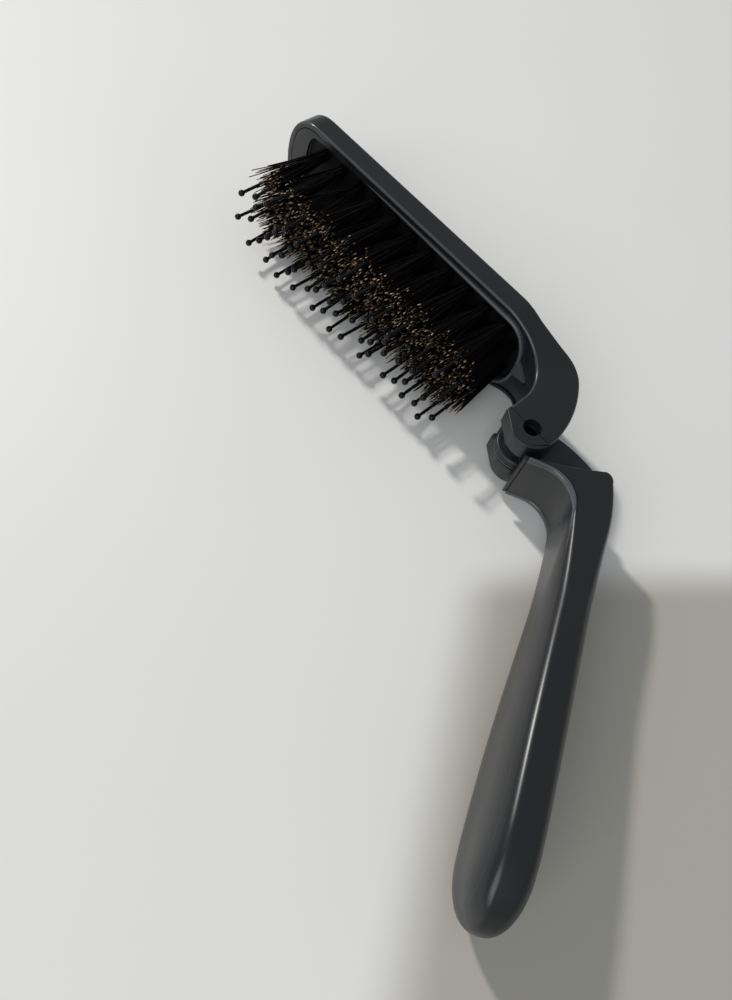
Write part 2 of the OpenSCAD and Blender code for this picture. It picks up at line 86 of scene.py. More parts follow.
def addMesh(name, points, faces, sharp=32, second=()):
    mesh = bpy.data.meshes.new(name)
    mesh.from_pydata([tuple(p) for p in points], [], faces)
    for i in second:
        mesh.polygons[i].material_index = 1
    work = bmesh.new()
    work.from_mesh(mesh)
    bmesh.ops.remove_doubles(work, verts=work.verts, dist=1e-7)
    bmesh.ops.recalc_face_normals(work, faces=work.faces)
    work.to_mesh(mesh)
    work.free()
    mesh.shade_smooth()
    mesh.set_sharp_from_angle(angle=math.radians(sharp))
    piece = bpy.data.objects.new(name, mesh)
    bpy.context.scene.collection.objects.link(piece)
    return piece


def loft(name, rings, sharp=32, second=()):
    # closed rings of equal length, joined in order and closed at both ends; the faces at
    # the places in second take the second material
    n = len(rings[0])
    points = [p for ring in rings for p in ring]
    faces = []
    for i in range(len(rings) - 1):
        for j in range(n):
            a, b = i * n + j, i * n + (j + 1) % n
            faces.append((a, b, b + n, a + n))
    faces.append(tuple(range(n)))
    faces.append(tuple(len(points) - n + j for j in range(n)))
    second = [i * n + j for i in range(len(rings) - 1) for j in second]
    return addMesh(name, points, faces, sharp, second)


def tube(name, loops, sharp=32):
    # closed loops of equal length, joined in order and back to the first
    n, m = len(loops[0]), len(loops)
    faces = [(i * n + j, i * n + (j + 1) % n, (i + 1) % m * n + (j + 1) % n, (i + 1) % m * n + j)
             for i in range(m) for j in range(n)]
    return addMesh(name, [p for loop in loops for p in loop], faces, sharp)


def plate(name, outline, low, high, edge, place, sharp=32):
    # a flat outline between two heights, with rounded long edges
    n = len(outline)
    normals = []
    for i in range(n):
        along = outline[(i + 1) % n] - outline[i - 1]
        normals.append(Vector((along.y, -along.x)).normalized())
    area = sum(outline[i - 1].cross(outline[i]) for i in range(n))
    turn = 1 if area > 0 else -1
    rings = []
    for side, height in ((-1, low), (1, high)):
        steps = [15 * k for k in range(7)]
        for a in steps if side < 0 else reversed(steps):
            inset = edge * (1 - math.sin(math.radians(a)))
            z = height - side * edge * (1 - math.cos(math.radians(a)))
            rings.append([place(p.x - turn * m.x * inset, p.y - turn * m.y * inset, z)
                          for p, m in zip(outline, normals)])
    return loft(name, rings, sharp)


def cut(piece, tool, operation="DIFFERENCE", sharp=32):
    # boolean, applied at once
    step = piece.modifiers.new("cut", "BOOLEAN")
    step.operation, step.object, step.solver = operation, tool, "EXACT"
    baked = bpy.data.meshes.new_from_object(
        piece.evaluated_get(bpy.context.evaluated_depsgraph_get()))
    piece.modifiers.clear()
    piece.data = baked
    baked.set_sharp_from_angle(angle=math.radians(sharp))
    bpy.data.objects.remove(tool)


def joined(name, pieces):
    # one object, each piece with the material it already has
    with bpy.context.temp_override(active_object=pieces[0], selected_editable_objects=pieces):
        bpy.ops.object.join()
    pieces[0].name = name
    return pieces[0]


# ---- head

head = dict(reach=112, width=28, front=17, back=23.6, tip=11, power=2.4, tipRound=2, tipFall=0.8,
            neckFrom=8, neckTo=27, hinge=17, wall=1.6, backEdge=0.9, rimEdge=0.55, rimInner=0.45,
            frameGap=0.07, frameThick=1, frameDrop=0.4, frameEdge=0.12, tipDrop=0.06, tipDropFrom=95,
            tipDropOver=7, pocketGap=0.05, scoop=12.4, neckFront=7.4, neckBack=30.5, neckBehind=6,
            neckCorner=11, ear=5.6, earCorner=1.2)
field = dict(rim=3.3, tipRim=7.6, start=18, drop=1, plateBack=2.4, plateGap=0.08, pitch=7.2, row=4.2,
             first=21.6, rows=5, hole=1.6, bead=1.0, beadDeep=1.8, proud=0.7, sunk=0.8, sinkFrom=90,
             sinkOver=9)
mark = dict(tip=12.5, base=17.5, half=2.6, rise=0.4, root=-0.8, slope=0.12)
tipStart = head["reach"] - head["tip"]
scoopCentre = (head["neckFront"] + head["scoop"], head["front"] - head["scoop"])
backCentre = (head["neckBack"] - head["neckBehind"], 0)
cornerV = head["back"] - head["neckCorner"]
cornerU = backCentre[0] - math.sqrt((head["neckBack"] - head["neckCorner"]) ** 2 - cornerV ** 2)
cornerTurn = math.degrees(math.atan2(cornerV, cornerU - backCentre[0]))


def headHalf(u, inset=0):
    t = min(1, max(0, (u - head["neckFrom"]) / (head["neckTo"] - head["neckFrom"])))
    half = lerp(head["hinge"], head["width"], (1 - math.cos(math.pi * t)) / 2) / 2 - inset
    if u <= tipStart:
        return half
    return half * dome((u - tipStart) / (head["tip"] - inset), head["power"])


def neckFrontAt(t):
    if t < 0.8:
        return polar(scoopCentre, head["scoop"], lerp(90, 180, t / 0.8))
    return Vector((head["neckFront"], lerp(scoopCentre[1], 0, (t - 0.8) / 0.2)))


def neckBackAt(t):
    if t < 0.25:
        return Vector((lerp(scoopCentre[0], cornerU, t / 0.25), head["back"]))
    if t < 0.45:
        return polar((cornerU, cornerV), head["neckCorner"], lerp(90, cornerTurn, (t - 0.25) / 0.2))
    return polar(backCentre, head["neckBack"], lerp(cornerTurn, 180, (t - 0.45) / 0.55))


def shellRing(front, back, half, inner, depth):
    # one section of the shell: pocket for the frame, rim, side and rounded back, as pairs of
    # depth behind the front and distance from the middle
    span = (back - front).length
    along = (back - front) / span
    small, large = min(head["rimEdge"], half * 0.4), min(head["backEdge"], half * 0.9)
    inner = min(inner, half - 2 * small) if inner > 0 else 0
    if inner <= 0:
        depth = 0
    side = [(depth, 0), (depth, inner * 0.5), (depth, inner)]
    lip = min(head["rimInner"], depth / 3, half * 0.3)
    quarter = [math.radians(a) for a in (0, 22, 45, 67, 90)]
    side += [(lip * (1 - math.sin(a)), inner + lip * (1 - math.cos(a))) for a in quarter]
    side += [(small * (1 - math.cos(a)), half - small + small * math.sin(a)) for a in quarter]
    side += [(lerp(small, span - large, t), half) for t in (0.33, 0.67)]
    side += [(span - large + large * math.sin(a), half - large + large * math.cos(a))
             for a in (math.radians(15 * k) for k in range(7))]
    side += [(span, half * 0.5), (span, 0)]
    ring = side + [(d, -z) for d, z in side[-2:0:-1]]
    return [onHead(*(front + along * d), z) for d, z in ring]


rimFaces = (8, 9, 10, 11)  # where shellRing rounds the front edge


def headShell():
    pocket = head["frameDrop"] + head["frameThick"] + head["pocketGap"]

    def section(u, inner, back=head["back"]):
        return shellRing(Vector((u, head["front"])), Vector((u, back)), headHalf(u), inner, pocket)

    rings = []
    for i in range(34, -1, -1):
        u = tipStart + head["tip"] * math.sin(math.radians(89.2 * i / 34))
        over = max(0, u - (head["reach"] - head["tipRound"]))
        drop = head["tipRound"] - math.sqrt(max(0, head["tipRound"] ** 2 - over * over))
        inner = headHalf(u, head["wall"]) if u < head["reach"] - head["wall"] else 0
        rings.append(section(u, inner, head["back"] - head["tipFall"] * drop))
    for start, end in ((tipStart, head["neckTo"]), (head["neckTo"], scoopCentre[0] + 0.4)):
        for i in range(1, 13):
            u = lerp(start, end, i / 12)
            rings.append(section(u, headHalf(u, head["wall"])))
    for i in range(61):
        front, back = neckFrontAt(i / 60), neckBackAt(i / 60)
        rings.append(shellRing(front, back, headHalf(front.x), headHalf(front.x, head["wall"]), pocket))
    n = len(rings[0])
    # the faces that round the front edge take a lighter second colour, a painted highlight
    shell = loft("headShell", rings, second=[j for k in rimFaces for j in (k, n - 1 - k)])
    for material in (shellFinish, paintedRimHighlight):
        shell.data.materials.append(material)
    cut(shell, slotTool())
    cut(shell, boreTool())
    cut(shell, plate("mirrorRecess", mirrorOutline(0), head["back"] - glass["recess"],
                     head["back"] + 1, 0.001, lambda u, z, v: onHead(u, v, z)))
    return shell


# ---- hinge

pivot = dict(slot=6.4, slotArc=(1.5, 16.5), slotTop=2, slotFoot=0.2, gap=0.35, tongue=6.3, play=0.1,
             tongueEdge=0.22, core=4.4, inner=4, collar=0.4, rim=0.4, step=0.9, grooves=(-0.9, -0.1),
             grooveHalf=0.15, grooveFloor=0.09, grooveDeep=0.3, washer=0.7, washerRadius=3.2,
             washerPlay=0.05, washerEdge=0.1, bore=2.06, earBore=2.03, recess=2.35, recessDepth=2.6,
             axle=2.0, axleShort=0.2, axleEdge=0.35, dimple=0.95, dimpleFloor=0.7, edge=0.3)
# the fin's ends: distance from the axis and angle
fin = dict(radius=36, low=(9.5, 60.5), high=(18.2, 88.7), heel=12, heelTop=2.6, heelFoot=0.6)
finLow = Vector((-fin["low"][0] * math.cos(math.radians(fin["low"][1])),
                 fin["low"][0] * math.sin(math.radians(fin["low"][1]))))
finHigh = Vector((fin["high"][0] * math.cos(math.radians(fin["high"][1])),
                  fin["high"][0] * math.sin(math.radians(fin["high"][1]))))


def finEdge(grow, steps=24):
    chord = finHigh - finLow
    side = Vector((chord.y, -chord.x)).normalized()
    centre = (finLow + finHigh) / 2 + side * math.sqrt(fin["radius"] ** 2 - (chord.length / 2) ** 2)
    a, b = (math.degrees(math.atan2(p.y - centre.y, p.x - centre.x)) for p in (finLow, finHigh))
    return arc(centre, fin["radius"] + grow, a, b, steps)


def slotTool():
    # the tongue's space between the ears, from the fin's swept edge outwards
    r = pivot["tongue"] + pivot["gap"]
    outside, below, past = -30, -20, head["neckFront"] + 2
    shape = [Vector((-p.x, p.y)) for p in finEdge(pivot["gap"])]
    shape += [Vector((outside, head["back"] + 1)), Vector((outside, below)), Vector((past, below)),
              Vector((past, pivot["slotFoot"]))]
    shape += arc((0, 0), r, *pivot["slotArc"], 6) + [Vector((r, pivot["slotTop"]))]
    return plate("slotTool", shape, -pivot["slot"] / 2, pivot["slot"] / 2, 0.001, onHead)


def boreTool():
    half = head["hinge"] / 2
    floor = half - pivot["recessDepth"]
    profile = [(0, -half - 1), (pivot["recess"], -half - 1), (pivot["recess"], -floor),
               (pivot["earBore"], -floor), (pivot["earBore"], floor), (pivot["recess"], floor),
               (pivot["recess"], half + 1), (0, half + 1)]
    return spin("boreTool", profile)


def spin(name, profile, steps=72, sharp=32):
    # a profile of radius and height, turned about the hinge axis
    points, faces, n = [], [], len(profile)
    for i in range(steps):
        a = 2 * math.pi * i / steps
        points += [onHead(r * math.cos(a), r * math.sin(a), z) for r, z in profile]
    for i in range(steps):
        for j in range(n - 1):
            a, b = i * n + j, ((i + 1) % steps) * n + j
            faces.append((a, b, b + 1, a + 1))
    if profile[0][0] > 0:
        faces += [(i * n + n - 1, ((i + 1) % steps) * n + n - 1, ((i + 1) % steps) * n, i * n)
                  for i in range(steps)]
    return addMesh(name, points, faces, sharp)


def tongue():
    r = pivot["tongue"]
    lean = math.asin(r / finLow.length)
    toward = math.atan2(-finLow.y, -finLow.x) - lean
    reach = math.sqrt(finLow.length ** 2 - r * r)
    touch = finLow + reach * Vector((math.cos(toward), math.sin(toward)))
    start = math.degrees(math.atan2(touch.y, touch.x))
    edge = finEdge(0)
    shape = arc((0, 0), pivot["core"], 362, start + 25, 60) + [touch * 0.985]
    shape += edge
    shape += [finHigh + Vector((fin["heel"], rise)) for rise in (fin["heelTop"], fin["heelFoot"])]
    shape += [hookBackAt(t).lerp(hookFrontAt(t), 0.35) for t in (0.67, 0.54, 0.41, 0.28, 0.15, 0.03)]
    half = pivot["slot"] / 2 - pivot["washer"] - pivot["play"]
    piece = plate("hingeTongue", shape, -half, half, pivot["tongueEdge"], onHandle)
    small, foot = pivot["rim"], -half + pivot["collar"]
    turn = [math.radians(a) for a in (0, 22, 45, 67, 90)]
    rim = [(pivot["inner"], -half), (pivot["core"], -half), (pivot["core"], foot)]
    rim += [(r - small * (1 - math.sin(a)), foot + small * (1 - math.cos(a))) for a in turn]
    wide, narrow, floor = pivot["grooveHalf"], pivot["grooveFloor"], r - pivot["grooveDeep"]
    for z in pivot["grooves"]:
        rim += [(r, z - wide), (floor, z - narrow), (floor, z + narrow), (r, z + wide)]
    rim += [(r - small * (1 - math.cos(a)), pivot["step"] - small * (1 - math.sin(a))) for a in turn]
    rim += [(pivot["core"], pivot["step"]), (pivot["core"], half), (pivot["inner"], half)]
    cut(piece, spin("tongueDisc", rim + [rim[0]]), "UNION")
    cut(piece, spin("tongueBore", [(0, -5), (pivot["bore"], -5), (pivot["bore"], 5), (0, 5)]))
    return piece


def washer(name, side):
    middle = side * (pivot["slot"] / 2 - pivot["washerPlay"] - pivot["washer"] / 2)
    half, out, bore, edge = pivot["washer"] / 2, pivot["washerRadius"], pivot["bore"], pivot["washerEdge"]
    low, high = middle - half, middle + half
    return spin(name, [(bore, low), (out - edge, low), (out, low + edge), (out, high - edge),
                       (out - edge, high), (bore, high)])


def axle():
    half = head["hinge"] / 2 - pivot["recessDepth"] - pivot["axleShort"]
    r, edge = pivot["axle"], pivot["axleEdge"]
    profile = [(0, -half + 0.25), (pivot["dimpleFloor"], -half + 0.2), (pivot["dimple"], -half),
               (r - edge, -half)]
    profile += [(r - edge + edge * math.sin(a), -half + edge - edge * math.cos(a))
                for a in (0.4, 0.8, 1.2, 1.57)]
    profile += [(x, -z) for x, z in reversed(profile)]
    return spin("hingeAxle", profile)


def earHalf(name, low, high):
    shape = arc((head["ear"] - head["neckBehind"], 0), head["ear"], 180, 302, 44)
    shape += [Vector((head["neckFront"], -head["earCorner"])), Vector((head["neckFront"], 0))]
    return plate(name, shape, low, high, pivot["edge"], onHead)


def frontFrame():
    deep = head["frameDrop"] + head["frameThick"]

    def ring(front, inward, half, drop=head["frameDrop"]):
        small = min(head["frameEdge"], half * 0.4)
        side = [(drop, 0), (drop, half * 0.5)]
        side += [(drop + small * (1 - math.cos(a)), half - small + small * math.sin(a))
                 for a in (math.radians(30 * k) for k in range(4))]
        side += [(deep, half), (deep, half * 0.5), (deep, 0)]
        full = side + [(d, -z) for d, z in side[-2:0:-1]]
        return [onHead(*(front + inward * d), z) for d, z in full]

    # along the flat front, where the recess fades towards the tip
    inset = head["wall"] + head["frameGap"]
    places = [tipStart + (head["tip"] - inset) * math.sin(math.radians(89.2 * i / 34))
              for i in range(34, -1, -1)]
    places += [lerp(tipStart, scoopCentre[0] + 0.3, i / 80) for i in range(1, 81)]
    rings = []
    for u in places:
        fade = smooth((u - head["tipDropFrom"]) / head["tipDropOver"])
        drop = lerp(head["frameDrop"], head["tipDrop"], fade)
        rings.append(ring(Vector((u, head["front"])), Vector((0, 1)), headHalf(u, inset), drop))
    for i in range(49):
        front = neckFrontAt(0.8 * i / 48)
        inward = (front - Vector(scoopCentre)).normalized()
        rings.append(ring(front, inward, headHalf(front.x, inset)))
    for v in (3.4, 2.2, 1.0, 0.2, -0.3):
        rings.append(ring(Vector((head["neckFront"], v)), Vector((-1, 0)), headHalf(0, inset)))
    skin = loft("frontSkin", rings)
    cut(skin, plate("fieldTool", fieldOutline(0.2), -1, 1, 0.001,
                    lambda u, z, w: onHead(u, head["front"] + 0.6 + 1.3 * w, z)))
    cut(skin, markSolid("markGroove", 0.4, 1, -0.6))
    cut(skin, slotTool())
    bead = openingBead()
    half, slot = head["hinge"] / 2, pivot["slot"] / 2
    ears = [earHalf("nearEar", slot, half), earHalf("farEar", -half, -slot)]
    for ear in ears:
        cut(ear, boreTool())
    # the fold mark's face is coloured lighter, a painted reflection
    triangle = markSolid("foldMark", 0, mark["rise"], mark["root"])
    # the opening bead is coloured lighter, a painted highlight
    own = {triangle: paintedMarkReflection, bead: paintedBeadHighlight}
    for part in [skin, bead, triangle] + ears:
        part.data.materials.clear()
        part.data.materials.append(own.get(part, frameFinish))
    return joined("frontFrame", [skin, bead, triangle] + ears)


def openingBead():
    # raised line round the bristles, which sinks in towards the tip
    r, deep = field["bead"] / 2, field["beadDeep"]
    section = [(0, deep), (0, 0.9), (0, r)]
    section += [(r - r * math.cos(a), r - r * math.sin(a)) for a in (0.4, 0.8, 1.2, 1.57, 1.95, 2.35, 2.75)]
    section += [(2 * r, r + 0.05), (2 * r, 1.4), (r, deep)]
    loops = []
    for grow, depth in section:
        loop = []
        for q in fieldOutline(grow):
            fade = smooth((q.x - field["sinkFrom"]) / field["sinkOver"])
            raised = lerp(field["proud"], -field["sunk"], fade)
            loop.append(onHead(q.x, head["front"] + depth - raised, q.y))
        loops.append(loop)
    return tube("openingBead", loops)


def markSolid(name, grow, top, bottom):
    # triangle that points to the hinge, with a flat face across the hollow of the scoop
    reach = head["scoop"] + head["frameDrop"]
    onSkin = lambda u: Vector((u, scoopCentre[1] + math.sqrt(reach ** 2 - (u - scoopCentre[0]) ** 2)))
    tip, base = onSkin(mark["tip"]), onSkin(mark["base"])
    along = (base - tip).normalized()
    out = Vector((along.y, -along.x))
    length = (base - tip).length
    rings = []
    for height, inset in ((bottom, 0), (top - 0.12, 0), (top, 0.12)):
        g = grow - inset
        side = mark["half"] + 1.2 * g
        corners = [(-2.3 * g, 0), (length + g, side), (length + g, -side)]
        slope = mark["slope"] if height == top else 0
        rings.append([onHead(*(tip + along * x + out * (height + slope * x)), z) for x, z in corners])
    return loft(name, rings, 20)


def fieldOutline(grow, steps=40):
    half = head["width"] / 2 - field["rim"] + grow
    reach = head["tip"] - field["rim"] + grow
    start = field["start"] + head["tip"] - field["rim"]
    side = []
    for i in range(steps + 1):
        s = math.sin(math.radians(90 * (1 - i / steps)))
        side.append(Vector((start - reach * s, half * dome(s, head["power"]))))
    reach = head["tip"] - field["tipRim"] + grow
    for i in range(steps + 1):
        s = math.sin(math.radians(90 * i / steps))
        side.append(Vector((tipStart + reach * s, half * dome(s, head["power"]))))
    return side + [Vector((p.x, -p.y)) for p in side[-2:0:-1]]


# ---- bristle plate and bristles


def rowPoints(row):
    short = row % 2
    longRow = int((tipStart - field["first"]) / field["pitch"]) + 1
    z = (row - (field["rows"] + 1) / 2) * field["row"]
    return [(field["first"] + field["pitch"] * (i + 0.5 * short), z) for i in range(longRow - short)]


def bristlePlate():
    front, back = head["front"] + field["drop"], head["front"] + field["plateBack"]
    place = lambda u, z, v: onHead(u, v, z)
    piece = plate("bristlePlate", fieldOutline(-field["plateGap"]), front, back, 0.1, place)
    holes = []
    for row in range(1, field["rows"] + 1):
        for u, z in rowPoints(row):
            circle = arc((u, z), field["hole"], 0, 352.5, 47)
            holes.append(plate("hole", circle, front - 1, front + 1.2, 0.001, place))
    cut(piece, joined("holes", holes))
    return piece


tuft = dict(hairs=72, root=1.35, spread=1.5, length=22.6, shortest=0.8, hairRadius=0.135, bend=0.5,
            thinning=0.1, strayLeast=0.065, strayMore=0.16, tipLean=-0.02, mostTurn=6.283, seed=4)
pin = dict(radius=0.43, taper=1.15, ball=0.9, length=28.8, shortest=0.985, longest=1.01, lean=0.06,
           tipLean=-0.05, offset=0.6, nearest=0.35, seed=11)
leanZone = (0.055, 0.1)  # from the hinge, in metres: no lean to all of it


class Graph:
    # a node tree that is written as expressions
    def __init__(self, tree):
        self.tree = tree

    def node(self, kind, settings=None, values=None):
        made = self.tree.nodes.new(kind)
        for key, value in (settings or {}).items():
            if key == "stops":
                ramp = made.color_ramp
                while len(ramp.elements) > 1:
                    ramp.elements.remove(ramp.elements[-1])
                for k, (at, colour) in enumerate(value):
                    stop = ramp.elements[0] if k == 0 else ramp.elements.new(at)
                    stop.position, stop.color = at, (*colour, 1)
            else:
                setattr(made, key, value)
        for key, value in (values or {}).items():
            if isinstance(value, Wire):
                self.tree.links.new(value.socket, made.inputs[key])
            else:
                made.inputs[key].default_value = value
        return made

    def wire(self, kind, settings=None, values=None, output=0):
        return Wire(self, self.node(kind, settings, values).outputs[output])


class Wire:
    # one output socket, with arithmetic
    def __init__(self, graph, socket):
        self.graph, self.socket = graph, socket

    def maths(self, operation, *others):
        values = dict(enumerate(others))
        return self.graph.wire("ShaderNodeMath", {"operation": operation}, values)

    def __add__(self, other):
        return self.maths("ADD", self, other)

    def __radd__(self, other):
        return self.maths("ADD", other, self)

    def __sub__(self, other):
        return self.maths("SUBTRACT", self, other)

    def __rsub__(self, other):
        return self.maths("SUBTRACT", other, self)

    def __mul__(self, other):
        return self.maths("MULTIPLY", self, other)

    def __rmul__(self, other):
        return self.maths("MULTIPLY", other, self)

    def __truediv__(self, other):
        return self.maths("DIVIDE", self, other)

    def power(self, other):
        return self.maths("POWER", self, other)


def geometryTree(name, sizes):
    tree = bpy.data.node_groups.new(name, "GeometryNodeTree")
    tree.interface.new_socket("Geometry", in_out="INPUT", socket_type="NodeSocketGeometry")
    for key, value in sizes.items():
        kind = "NodeSocketInt" if isinstance(value, int) else "NodeSocketFloat"
        tree.interface.new_socket(key, in_out="INPUT", socket_type=kind).default_value = value
    tree.interface.new_socket("Geometry", in_out="OUTPUT", socket_type="NodeSocketGeometry")
    graph = Graph(tree)
    source = graph.node("NodeGroupInput")
    return graph, {s.name: Wire(graph, s) for s in source.outputs if s.name}


def closeTree(graph, geometry, material):
    real = graph.wire("GeometryNodeRealizeInstances", {}, {0: geometry})
    done = graph.wire("GeometryNodeSetMaterial", {}, {0: real, "Material": material})
    out = graph.node("NodeGroupOutput")
    graph.tree.links.new(done.socket, out.inputs[0])


def randomFloat(graph, low, high, seed):
    return graph.wire("FunctionNodeRandomValue", {"data_type": "FLOAT"}, {2: low, 3: high, "Seed": seed}, 1)


def vector(graph, x, y, z):
    return graph.wire("ShaderNodeCombineXYZ", {}, {0: x, 1: y, 2: z})


def leanNearTip(graph, most):
    # what stands nearest the tip of the head leans back from it
    here = graph.wire("ShaderNodeSeparateXYZ", {}, {0: graph.wire("GeometryNodeInputPosition")})
    return graph.wire("ShaderNodeMapRange", {"interpolation_type": "SMOOTHSTEP"}, {
        0: here, 1: hinge.x + leanZone[0], 2: hinge.x + leanZone[1], 4: most})


def tuftTree(material):
    graph, size = geometryTree("tuftHairs", {
        "Hairs": tuft["hairs"], "Root radius": tuft["root"] / 1000, "Spread": tuft["spread"] / 1000,
        "Length": tuft["length"] / 1000, "Shortest": tuft["shortest"],
        "Hair radius": tuft["hairRadius"] / 1000, "Bend": tuft["bend"] / 1000,
        "Tip lean": tuft["tipLean"], "Seed": tuft["seed"]})
    seed = size["Seed"]
    line = graph.wire("GeometryNodeCurvePrimitiveLine", {}, {"End": (0, 0, 1)})
    line = graph.wire("GeometryNodeResampleCurve", {}, {0: line, "Count": 6})
    along = graph.wire("GeometryNodeSplineParameter")
    line = graph.wire("GeometryNodeSetPosition", {}, {
        0: line, "Offset": vector(graph, along.power(2.0) * size["Bend"], 0.0, 0.0)})
    line = graph.wire("GeometryNodeStoreNamedAttribute", {"data_type": "FLOAT", "domain": "POINT"}, {
        0: line, "Name": "along", "Value": along})
    thin = 1 - along.power(3.0) * tuft["thinning"]
    line = graph.wire("GeometryNodeSetCurveRadius", {}, {0: line, "Radius": thin})
    ring = graph.wire("GeometryNodeCurvePrimitiveCircle", {}, {
        "Resolution": 4, "Radius": size["Hair radius"]})
    hair = graph.wire("GeometryNodeCurveToMesh", {}, {0: line, 1: ring, "Scale": thin, "Fill Caps": True})
    points = graph.wire("GeometryNodeMeshToPoints", {}, {0: size["Geometry"]})
    points = graph.wire("GeometryNodeDuplicateElements", {"domain": "POINT"}, {
        0: points, "Amount": size["Hairs"]})
    angle = randomFloat(graph, 0.0, 2 * math.pi, seed)
    radius = randomFloat(graph, 0.0, 1.0, seed + 1).power(0.55)
    x, z = angle.maths("COSINE", angle) * radius, angle.maths("SINE", angle) * radius
    root = size["Root radius"]
    points = graph.wire("GeometryNodeSetPosition", {}, {
        0: points, "Offset": vector(graph, x * root, 0.0, z * root)})
    fan = size["Spread"] / size["Length"]
    stray = randomFloat(graph, 0.0, 1.0, seed + 2).power(7.0) * tuft["strayMore"] + tuft["strayLeast"]
    lean = vector(graph, leanNearTip(graph, size["Tip lean"]) + x * fan
                  + randomFloat(graph, -1.0, 1.0, seed + 3) * stray, 1.0,
                  z * fan + randomFloat(graph, -1.0, 1.0, seed + 4) * stray)
    turn = graph.wire("FunctionNodeAlignRotationToVector", {"axis": "Z"}, {"Vector": lean})
    shorter = randomFloat(graph, 0.0, 1.0, seed + 5).power(1.3)
    longest = size["Length"] * (1 - (1 - size["Shortest"]) * shorter)
    hairs = graph.wire("GeometryNodeInstanceOnPoints", {}, {
        0: points, "Instance": hair, "Rotation": turn, "Scale": vector(graph, 1.0, 1.0, longest)})
    hairs = graph.wire("GeometryNodeRotateInstances", {}, {
        0: hairs, "Rotation": vector(graph, 0.0, 0.0, randomFloat(graph, 0.0, tuft["mostTurn"], seed + 6))})
    hairs = graph.wire("GeometryNodeStoreNamedAttribute", {"data_type": "FLOAT", "domain": "INSTANCE"}, {
        0: hairs, "Name": "strand", "Value": randomFloat(graph, 0.0, 1.0, seed + 7)})
    closeTree(graph, hairs, material)
    return graph.tree


def pinTree(material):
    graph, size = geometryTree("ballPins", {
        "Radius": pin["radius"] / 1000, "Ball": pin["ball"] / 1000, "Length": pin["length"] / 1000,
        "Lean": pin["lean"], "Tip lean": pin["tipLean"], "Offset": pin["offset"] / 1000,
        "Seed": pin["seed"]})
    seed = size["Seed"]
    rod = graph.wire("GeometryNodeMeshCone", {"fill_type": "NONE"}, {
        "Vertices": 10, "Radius Top": size["Radius"], "Radius Bottom": size["Radius"] * pin["taper"],
        "Depth": size["Length"]})
    ball = graph.wire("GeometryNodeMeshUVSphere", {}, {"Segments": 12, "Rings": 8, "Radius": size["Ball"]})
    ball = graph.wire("GeometryNodeTransform", {}, {
        0: ball, "Translation": vector(graph, 0.0, 0.0, size["Length"])})
    join = graph.node("GeometryNodeJoinGeometry")
    for part in (ball, rod):
        graph.tree.links.new(part.socket, join.inputs[0])
    whole = graph.wire("GeometryNodeSetShadeSmooth", {}, {0: Wire(graph, join.outputs[0])})
    points = graph.wire("GeometryNodeMeshToPoints", {}, {0: size["Geometry"]})
    angle = randomFloat(graph, 0.0, 2 * math.pi, seed)
    offset = size["Offset"] * randomFloat(graph, pin["nearest"], 1.0, seed + 1)
    points = graph.wire("GeometryNodeSetPosition", {}, {0: points, "Offset": vector(
        graph, angle.maths("COSINE", angle) * offset, 0.0, angle.maths("SINE", angle) * offset)})
    lean = vector(graph, leanNearTip(graph, size["Tip lean"])
                  + randomFloat(graph, -1.0, 1.0, seed + 3) * size["Lean"], 1.0,
                  randomFloat(graph, -1.0, 1.0, seed + 4) * size["Lean"])
    turn = graph.wire("FunctionNodeAlignRotationToVector", {"axis": "Z"}, {"Vector": lean})
    pins = graph.wire("GeometryNodeInstanceOnPoints", {}, {
        0: points, "Instance": whole, "Rotation": turn,
        "Scale": vector(graph, 1.0, 1.0, randomFloat(graph, pin["shortest"], pin["longest"], seed + 5))})
    closeTree(graph, pins, material)
    return graph.tree


def grown(name, points, tree, seed):
    # runs a tree on loose points and keeps the result as a plain mesh
    mesh = bpy.data.meshes.new(name + "Points")
    mesh.from_pydata([tuple(p) for p in points], [], [])
    piece = bpy.data.objects.new(name, mesh)
    bpy.context.scene.collection.objects.link(piece)
    step = piece.modifiers.new("grow", "NODES")
    step.node_group = tree
    for item in tree.interface.items_tree:
        if item.in_out == "INPUT" and item.name == "Seed":
            step[item.identifier] = seed
    baked = bpy.data.meshes.new_from_object(
        piece.evaluated_get(bpy.context.evaluated_depsgraph_get()))
    piece.modifiers.clear()
    piece.data = baked
    return piece


# ---- handle

grip = dict(reach=106, front=12.4, back=24.2, neck=16.4, lip=9, lipThick=1.1, lipGap=0.3, hook=8.6,
            hump=1.8, topBack=3.6, hollow=0.7, corner=2.25, backRise=1.9, bulb=28, bulbAt=92, end=12,
            bulbEnd=20, power=2.2, round=0.75, roundOver=32, bow=0.33, frontOver=60, backOver=13,
            square=34, lipEdge=0.5, cover=1.3, coverLip=0.5, seamGap=0.2, seamFine=0.004, seamOver=16,
            beadRadius=0.8, beadSink=0.35, beadSlant=50, beadFrom=12, beadOver=16)
hookCentre = (grip["lip"] + grip["hook"], grip["front"] + grip["hump"] - grip["hook"])
hookTop = hookCentre[1] + grip["hook"]
cornerQ = grip["back"] - grip["backRise"] - grip["corner"]


def hookFrontAt(t):
    if t < 0.3:
        return Vector((grip["lip"], lerp(grip["lipGap"], hookCentre[1], t / 0.3)))
    return polar(hookCentre, grip["hook"], lerp(180, 90, (t - 0.3) / 0.7))


def hookBackAt(t):
    s = t / 0.75
    if t < 0.75:
        straight = lerp(grip["lip"] - grip["lipThick"], grip["topBack"], s)
        return Vector((straight + 4 * grip["hollow"] * s * (1 - s), lerp(grip["lipGap"], cornerQ, s)))
    return polar((grip["topBack"] + grip["corner"], cornerQ), grip["corner"],
                 lerp(180, 90, (t - 0.75) / 0.25))


def gripHalf(p):
    wide = lerp(grip["neck"], grip["bulb"], smooth((p - grip["lip"]) / (grip["bulbAt"] - grip["lip"]))) / 2
    return wide * dome(max(0, p - (grip["reach"] - grip["bulbEnd"])) / grip["bulbEnd"], grip["power"])


